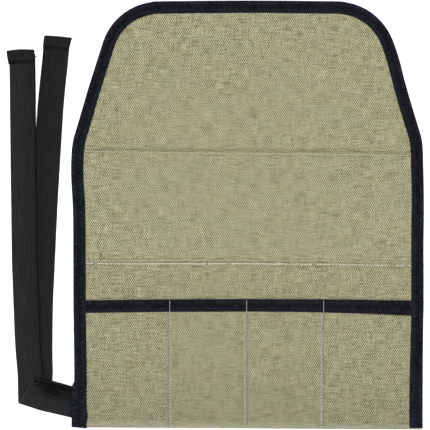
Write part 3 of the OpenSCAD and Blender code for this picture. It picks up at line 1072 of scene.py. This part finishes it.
MOUTH_PROFILE = tape_profile(TAPE_W - 0.1 * MM, CLOTH_T / 2 + 0.02 * MM, TAPE_W - 3 * MM)
# The point of a tape's profile that lies in the groove of its seam
GROOVE = 5


def tape_seam(name, rings):
    """The dark stitches along a tape's groove."""
    return stitch_row(name, [ring[GROOVE] for ring in rings], 2.6, 0.7, 0.22, DARK_THREAD)


def mouth_section(x):
    """The mouth tape's section: it wanders a little, and falls towards the right."""
    wander = 0.35 * MM * (ripple(x, 0, 40, 11.0) - 0.5)
    bow = (x / SIDE) ** 2
    squeeze = 1 - 0.3 * math.exp(-(min(abs(x - d) for d in DIVIDERS) / (1.5 * MM)) ** 2)
    loop = []
    for inward, out in MOUTH_PROFILE:
        across = min(1.0, inward / TAPE_W)
        sag = bow * (1.5 * MM if x < 0 else 1.6 * MM + 3 * MM * across)
        y = MOUTH + 1.0 * MM - sag + wander * (1 if inward < 2 * MM else 0.6) - inward
        loop.append((x, y, front_mid(x, min(y, MOUTH - 0.9 * MM)) + out * squeeze))
    return loop


def make_mouth_binding(part):
    xs = spread(*trimmed(part, TAPE_W - 1.5 * MM), 2.2, [part.divider])
    rings = [mouth_section(x) for x in xs]
    uvs = [[(x, inward) for inward, _ in MOUTH_PROFILE] for x in xs]
    declare(loft(f"mouth_tape_{part.name}", rings, uvs, TAPE), part, "binding", "mouth_binding")
    declare(tape_seam(f"mouth_seam_{part.name}", rings), part, "thread")


# ---- the flap and the edge tape

SLANT = math.radians(16.7)
CORNER_R = 56 * MM
SHOULDER_R = 58 * MM
TIP_HALF = (
    SHOULDER_R * (1 - math.cos(SLANT)) + math.cos(SLANT) * SIDE
    + math.sin(SLANT) * (FOLD - TIP + CORNER_R) - CORNER_R
) / math.cos(SLANT)
SHOULDER_C = (SIDE - SHOULDER_R, FOLD)
CORNER_C = (TIP_HALF, TIP - CORNER_R)


def flap_half_width(y, inset):
    """Half the flap's width at y, for its outline drawn inwards by an inset."""
    if y <= FOLD:
        return SIDE - inset
    r = SHOULDER_R - inset
    if y - FOLD <= r * math.sin(SLANT):
        return SHOULDER_C[0] + math.sqrt(r * r - (y - FOLD) ** 2)
    r = CORNER_R - inset
    if y <= CORNER_C[1] + r * math.sin(SLANT):
        reach = math.cos(SLANT) * CORNER_C[0] + math.sin(SLANT) * CORNER_C[1] + r
        return (reach - math.sin(SLANT) * y) / math.cos(SLANT)
    return CORNER_C[0] + math.sqrt(max(0.0, r * r - (y - CORNER_C[1]) ** 2))


def flap_distance_in(x, y):
    """Distance from a point on the flap in to its outline, near enough for the tape's margin."""
    sideways = (flap_half_width(min(y, TIP - 0.01 * MM), 0) - abs(x)) * math.cos(SLANT if y > FOLD else 0)
    beyond = math.hypot(max(0.0, abs(x) - CORNER_C[0]), max(0.0, y - CORNER_C[1]))
    if abs(x) > CORNER_C[0] and y > CORNER_C[1]:
        return CORNER_R - beyond
    return min(sideways, TIP - y)


def flap_mid(x, y):
    wave = buckle(x, y) * fade(FOLD + 8 * MM - y, 8)
    free = fade(y - FOLD, 20)
    loose = free * (0.34 * MM * ripple(x, y, 48, 14.0) + 0.12 * MM * ripple(x, y, 15, 15.0))
    return BODY_MID + wave + loose + margin_lift(flap_distance_in(x, y))


def fold_nose(x, y, under):
    """A round edge about the roll line, hidden in the next piece until the fold opens a gap below."""
    r = max(0.1 * MM, CANVAS_TOP - under)
    angles = (math.radians(a) for a in (-5, -25, -45, -65, -82))
    return [(x + r * math.cos(a), y, CANVAS_TOP + r * math.sin(a)) for a in angles]


def bend_at_fold(piece, column, flap):
    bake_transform(piece)


def make_flap_cloth(i):
    left, right = EDGES[i - 1], EDGES[i]
    inset = 1.0 * MM
    top = TIP - inset
    rings, uvs = [], []
    for y in spread(JOIN, top, 3, [FOLD + 1.5 * MM]):
        half = flap_half_width(min(y, top), inset)
        a, b = max(left, -half), min(right, half)
        if b - a < 0.2 * MM:
            break
        count = 34
        xs = [a + (b - a) * k / count for k in range(count + 1)]
        over = [(x, y, flap_mid(x, y) + CLOTH_T / 2) for x in xs]
        under = [(x, y, flap_mid(x, y) - CLOTH_T / 2) for x in xs[::-1]]
        nose = fold_nose(b, y, under[0][2]) if i < 4 else []
        rings.append(over + nose + under)
        uvs.append([(p[0], p[1]) for p in rings[-1]])
    piece = loft(f"flap_cloth_{i}", rings, uvs, CANVAS_FLAP)
    bend_at_fold(piece, f"column_{i}", f"flap_{i}")
    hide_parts(f"flap_canvas_{i}")


def arc(centre, r, a0, a1, steps):
    """Places around an arc after its start, each as (x, y, and its way out's x and y)."""
    ways = [(math.cos(a), math.sin(a)) for a in (a0 + (a1 - a0) * k / steps for k in range(1, steps + 1))]
    return [(centre[0] + r * ox, centre[1] + r * oy, ox, oy) for ox, oy in ways]


def edge_route():
    """The right-hand outline from the bottom up to the middle of the tip, in places like an arc's."""
    ys = [BOTTOM + y * MM for y in (-0.3, -0.1, 0.3, 0.9, 1.7)]
    ys += spread(BOTTOM + 2.5 * MM, FOLD, 3, [BAND_LOW, FOLD], 0.7, 6)
    points = [(SIDE, y, 1.0, 0.0) for y in ys] + arc(SHOULDER_C, SHOULDER_R, 0, SLANT, 20)
    x0, y0, *out = points[-1]
    x1, y1 = (CORNER_C[0] + CORNER_R * math.cos(SLANT), CORNER_C[1] + CORNER_R * math.sin(SLANT))
    points += [(x0 + (x1 - x0) * k / 31, y0 + (y1 - y0) * k / 31, *out) for k in range(1, 31)]
    points += arc(CORNER_C, CORNER_R, SLANT, math.pi / 2, 34)
    return points + [(CORNER_C[0] * (1 - k / 40), TIP, 0.0, 1.0) for k in range(1, 41)]


def stack_top(x, y):
    """Top of the cloth that the edge tape lies on, with the steps in it smoothed."""
    base = (flap_mid(x, y) if y > FOLD else body_mid(x, y)) + CLOTH_T / 2
    in_pocket = fade(MOUTH + 2.5 * MM - y, 5)
    in_band = fade(y - band_lower(x) + 3 * MM, 5) * fade(band_upper(x) + 3 * MM - y, 5)
    in_mouth = fade(MOUTH + 1 * MM - y, 2) * fade(y - MOUTH + TAPE_W + 1 * MM, 2)
    height = base
    if in_pocket > 0:
        front = front_mid(x, max(min(y, MOUTH - 0.9 * MM), BOTTOM + 2 * MM)) + CLOTH_T / 2
        height += in_pocket * max(0.0, front - base)
    if in_band > 0:
        inside = min(max(y, band_lower(x) + 1 * MM), band_upper(x) - 1 * MM)
        height += in_band * max(0.0, band_top(x, inside) - body_mid(x, inside) - CLOTH_T / 2)
    return height + in_mouth * 1.2 * TAPE_T


TIE_HIGH = BOTTOM + 41 * MM


def tie_swell(x, y):
    """The left tape is pushed out and up a little where the tie is caught behind it."""
    if x > 0:
        return 0.0
    return fade(TIE_HIGH + 3 * MM - y, 4)


EDGE_PROFILE = tape_profile(TAPE_W, 0.5 * MM, TAPE_W - 0.8 * MM)


def edge_drift(x, y, out_y):
    """How far outwards the sewing of the edge tape has wandered from the cut outline."""
    up = y - BOTTOM
    on_the_tip = out_y > 0.99
    if on_the_tip:
        return hump(x, 85, 1.1)
    if x > 0:
        out = hump(up - 165 * MM, 72, 1.4) + hump(up - 356 * MM, 20, 1.2)
        return out + hump(up - 229 * MM, 30, 0.45) - hump(up - 171 * MM, 25, 0.6)
    tucked = 0.9 * MM * fade(140 * MM - up, 90)
    return hump(up - 248 * MM, 28, 2.1) + hump(up - 322 * MM, 38, 0.9) - tucked


def leg_growth(x, y):
    """How much further in than its nominal width the tape's front leg reaches."""
    up = y - BOTTOM
    if x > 0:
        return 0.95 * MM * fade(110 * MM - up, 90)
    return 0.8 * MM * fade(48 * MM - up, 8) + hump(up - 12.5 * MM, 5, 1.2)


def edge_section(x, y, out_x, out_y, run):
    """The edge tape's section at one place on the outline, closed around what lies there."""
    nominal = 0.5 * MM
    swell = tie_swell(x, y)
    drift = edge_drift(x, y, out_y)
    # the cut end is turned in, so it closes like a pillow's edge
    end = min(1.0, (y - BOTTOM + 0.35 * MM) / (1.6 * MM))
    plump = math.sqrt(max(0.02, 1 - (1 - end) ** 2)) if end < 1 else 1.0
    wander = 0.4 * MM * (ripple(run, x, 35, 21.0) - 0.5)
    loop = []
    for inward, out in EDGE_PROFILE:
        here = inward - drift - swell * 2.5 * MM * (1 if inward < 3 * MM else 0.3)
        if inward > TAPE_W - 1 * MM and out > 0:
            here += wander + leg_growth(x, y)
        reach = max(inward, 1.2 * MM)
        top = stack_top(x - out_x * reach, y - out_y * reach) + swell * 0.5 * MM
        if out > nominal:
            z = top + out - nominal
        elif out < -nominal:
            z = TAPE_T + out + nominal
        else:
            z = TAPE_T + (top - TAPE_T) * (out + nominal) / (2 * nominal)
        middle = top * 0.5
        z = middle + (z - middle) * plump + 0.02 * MM
        slant = 0.13 * (TAPE_W - inward) if x < 0 else 0.0
        loop.append((x - out_x * here, y - out_y * here + slant * (1 - end), z))
    return loop


def whole_outline():
    """The outline from the left side's bottom over the tip to the right side's, with the run along it."""
    half, run, last = [], 0.0, None
    for x, y, ox, oy in edge_route():
        run += math.hypot(x - last[0], y - last[1]) if last else 0.0
        last = (x, y)
        half.append((x, y, ox, oy, run))
    left = [(-x, y, -ox, oy, run) for x, y, ox, oy, run in half]
    right = [(x, y, ox, oy, 2 * half[-1][4] - run) for x, y, ox, oy, run in half[-2::-1]]
    # the tip is straight and is run along evenly, so the places where its tape is divided are easily found
    cuts = [(x, TIP, 0.0, 1.0, half[-1][4] + x) for x in DIVIDERS]
    return sorted(left + right + cuts, key=lambda place: place[4])


OUTLINE = whole_outline()


def make_edge_tape(name, start, end, bodies, nodes):
    """The edge tape between two places across the body."""
    places = [place for place in OUTLINE if start <= place[0] <= end]
    rings = [edge_section(*place) for place in places]
    uvs = [[(place[4], inward) for inward, _ in EDGE_PROFILE] for place in places]
    piece = loft(name, rings, uvs, TAPE)
    seam = tape_seam(f"{name}_seam", rings)
    for made, slot in ((piece, "binding"), (seam, "thread")):
        if len(bodies) == 2:
            bend_at_fold(made, *bodies)
        else:
            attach(made, bodies[0])
    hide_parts(*nodes)


for part in PARTS:
    make_body_cloth(part)
    make_band(part)
    make_band_stitches(part)
    make_mouth_binding(part)
    make_divider_stitches(part)
for i in (1, 2, 3, 4):
    make_flap_cloth(i)
make_edge_tape("edge_tape_left", -2 * SIDE, DIVIDERS[0], ("column_1", "flap_1"),
               ("side_binding_left", "flap_binding_1"))
for i in (2, 3):
    make_edge_tape(f"edge_tape_{i}", EDGES[i - 1], EDGES[i], (f"flap_{i}",), (f"flap_binding_{i}",))
make_edge_tape("edge_tape_right", DIVIDERS[2], 2 * SIDE, ("column_4", "flap_4"),
               ("side_binding_right", "flap_binding_4"))


# ---- floor

def make_floor():
    bpy.ops.mesh.primitive_plane_add(size=6, location=(0, 0, -0.0001))
    floor = bpy.context.object
    floor.name = "floor"
    g = Graph("white_floor")
    g.shader.inputs["Base Color"].default_value = (0.96, 0.96, 0.96, 1)
    g.shader.inputs["Roughness"].default_value = 0.9
    floor.data.materials.append(g.material)


make_floor()
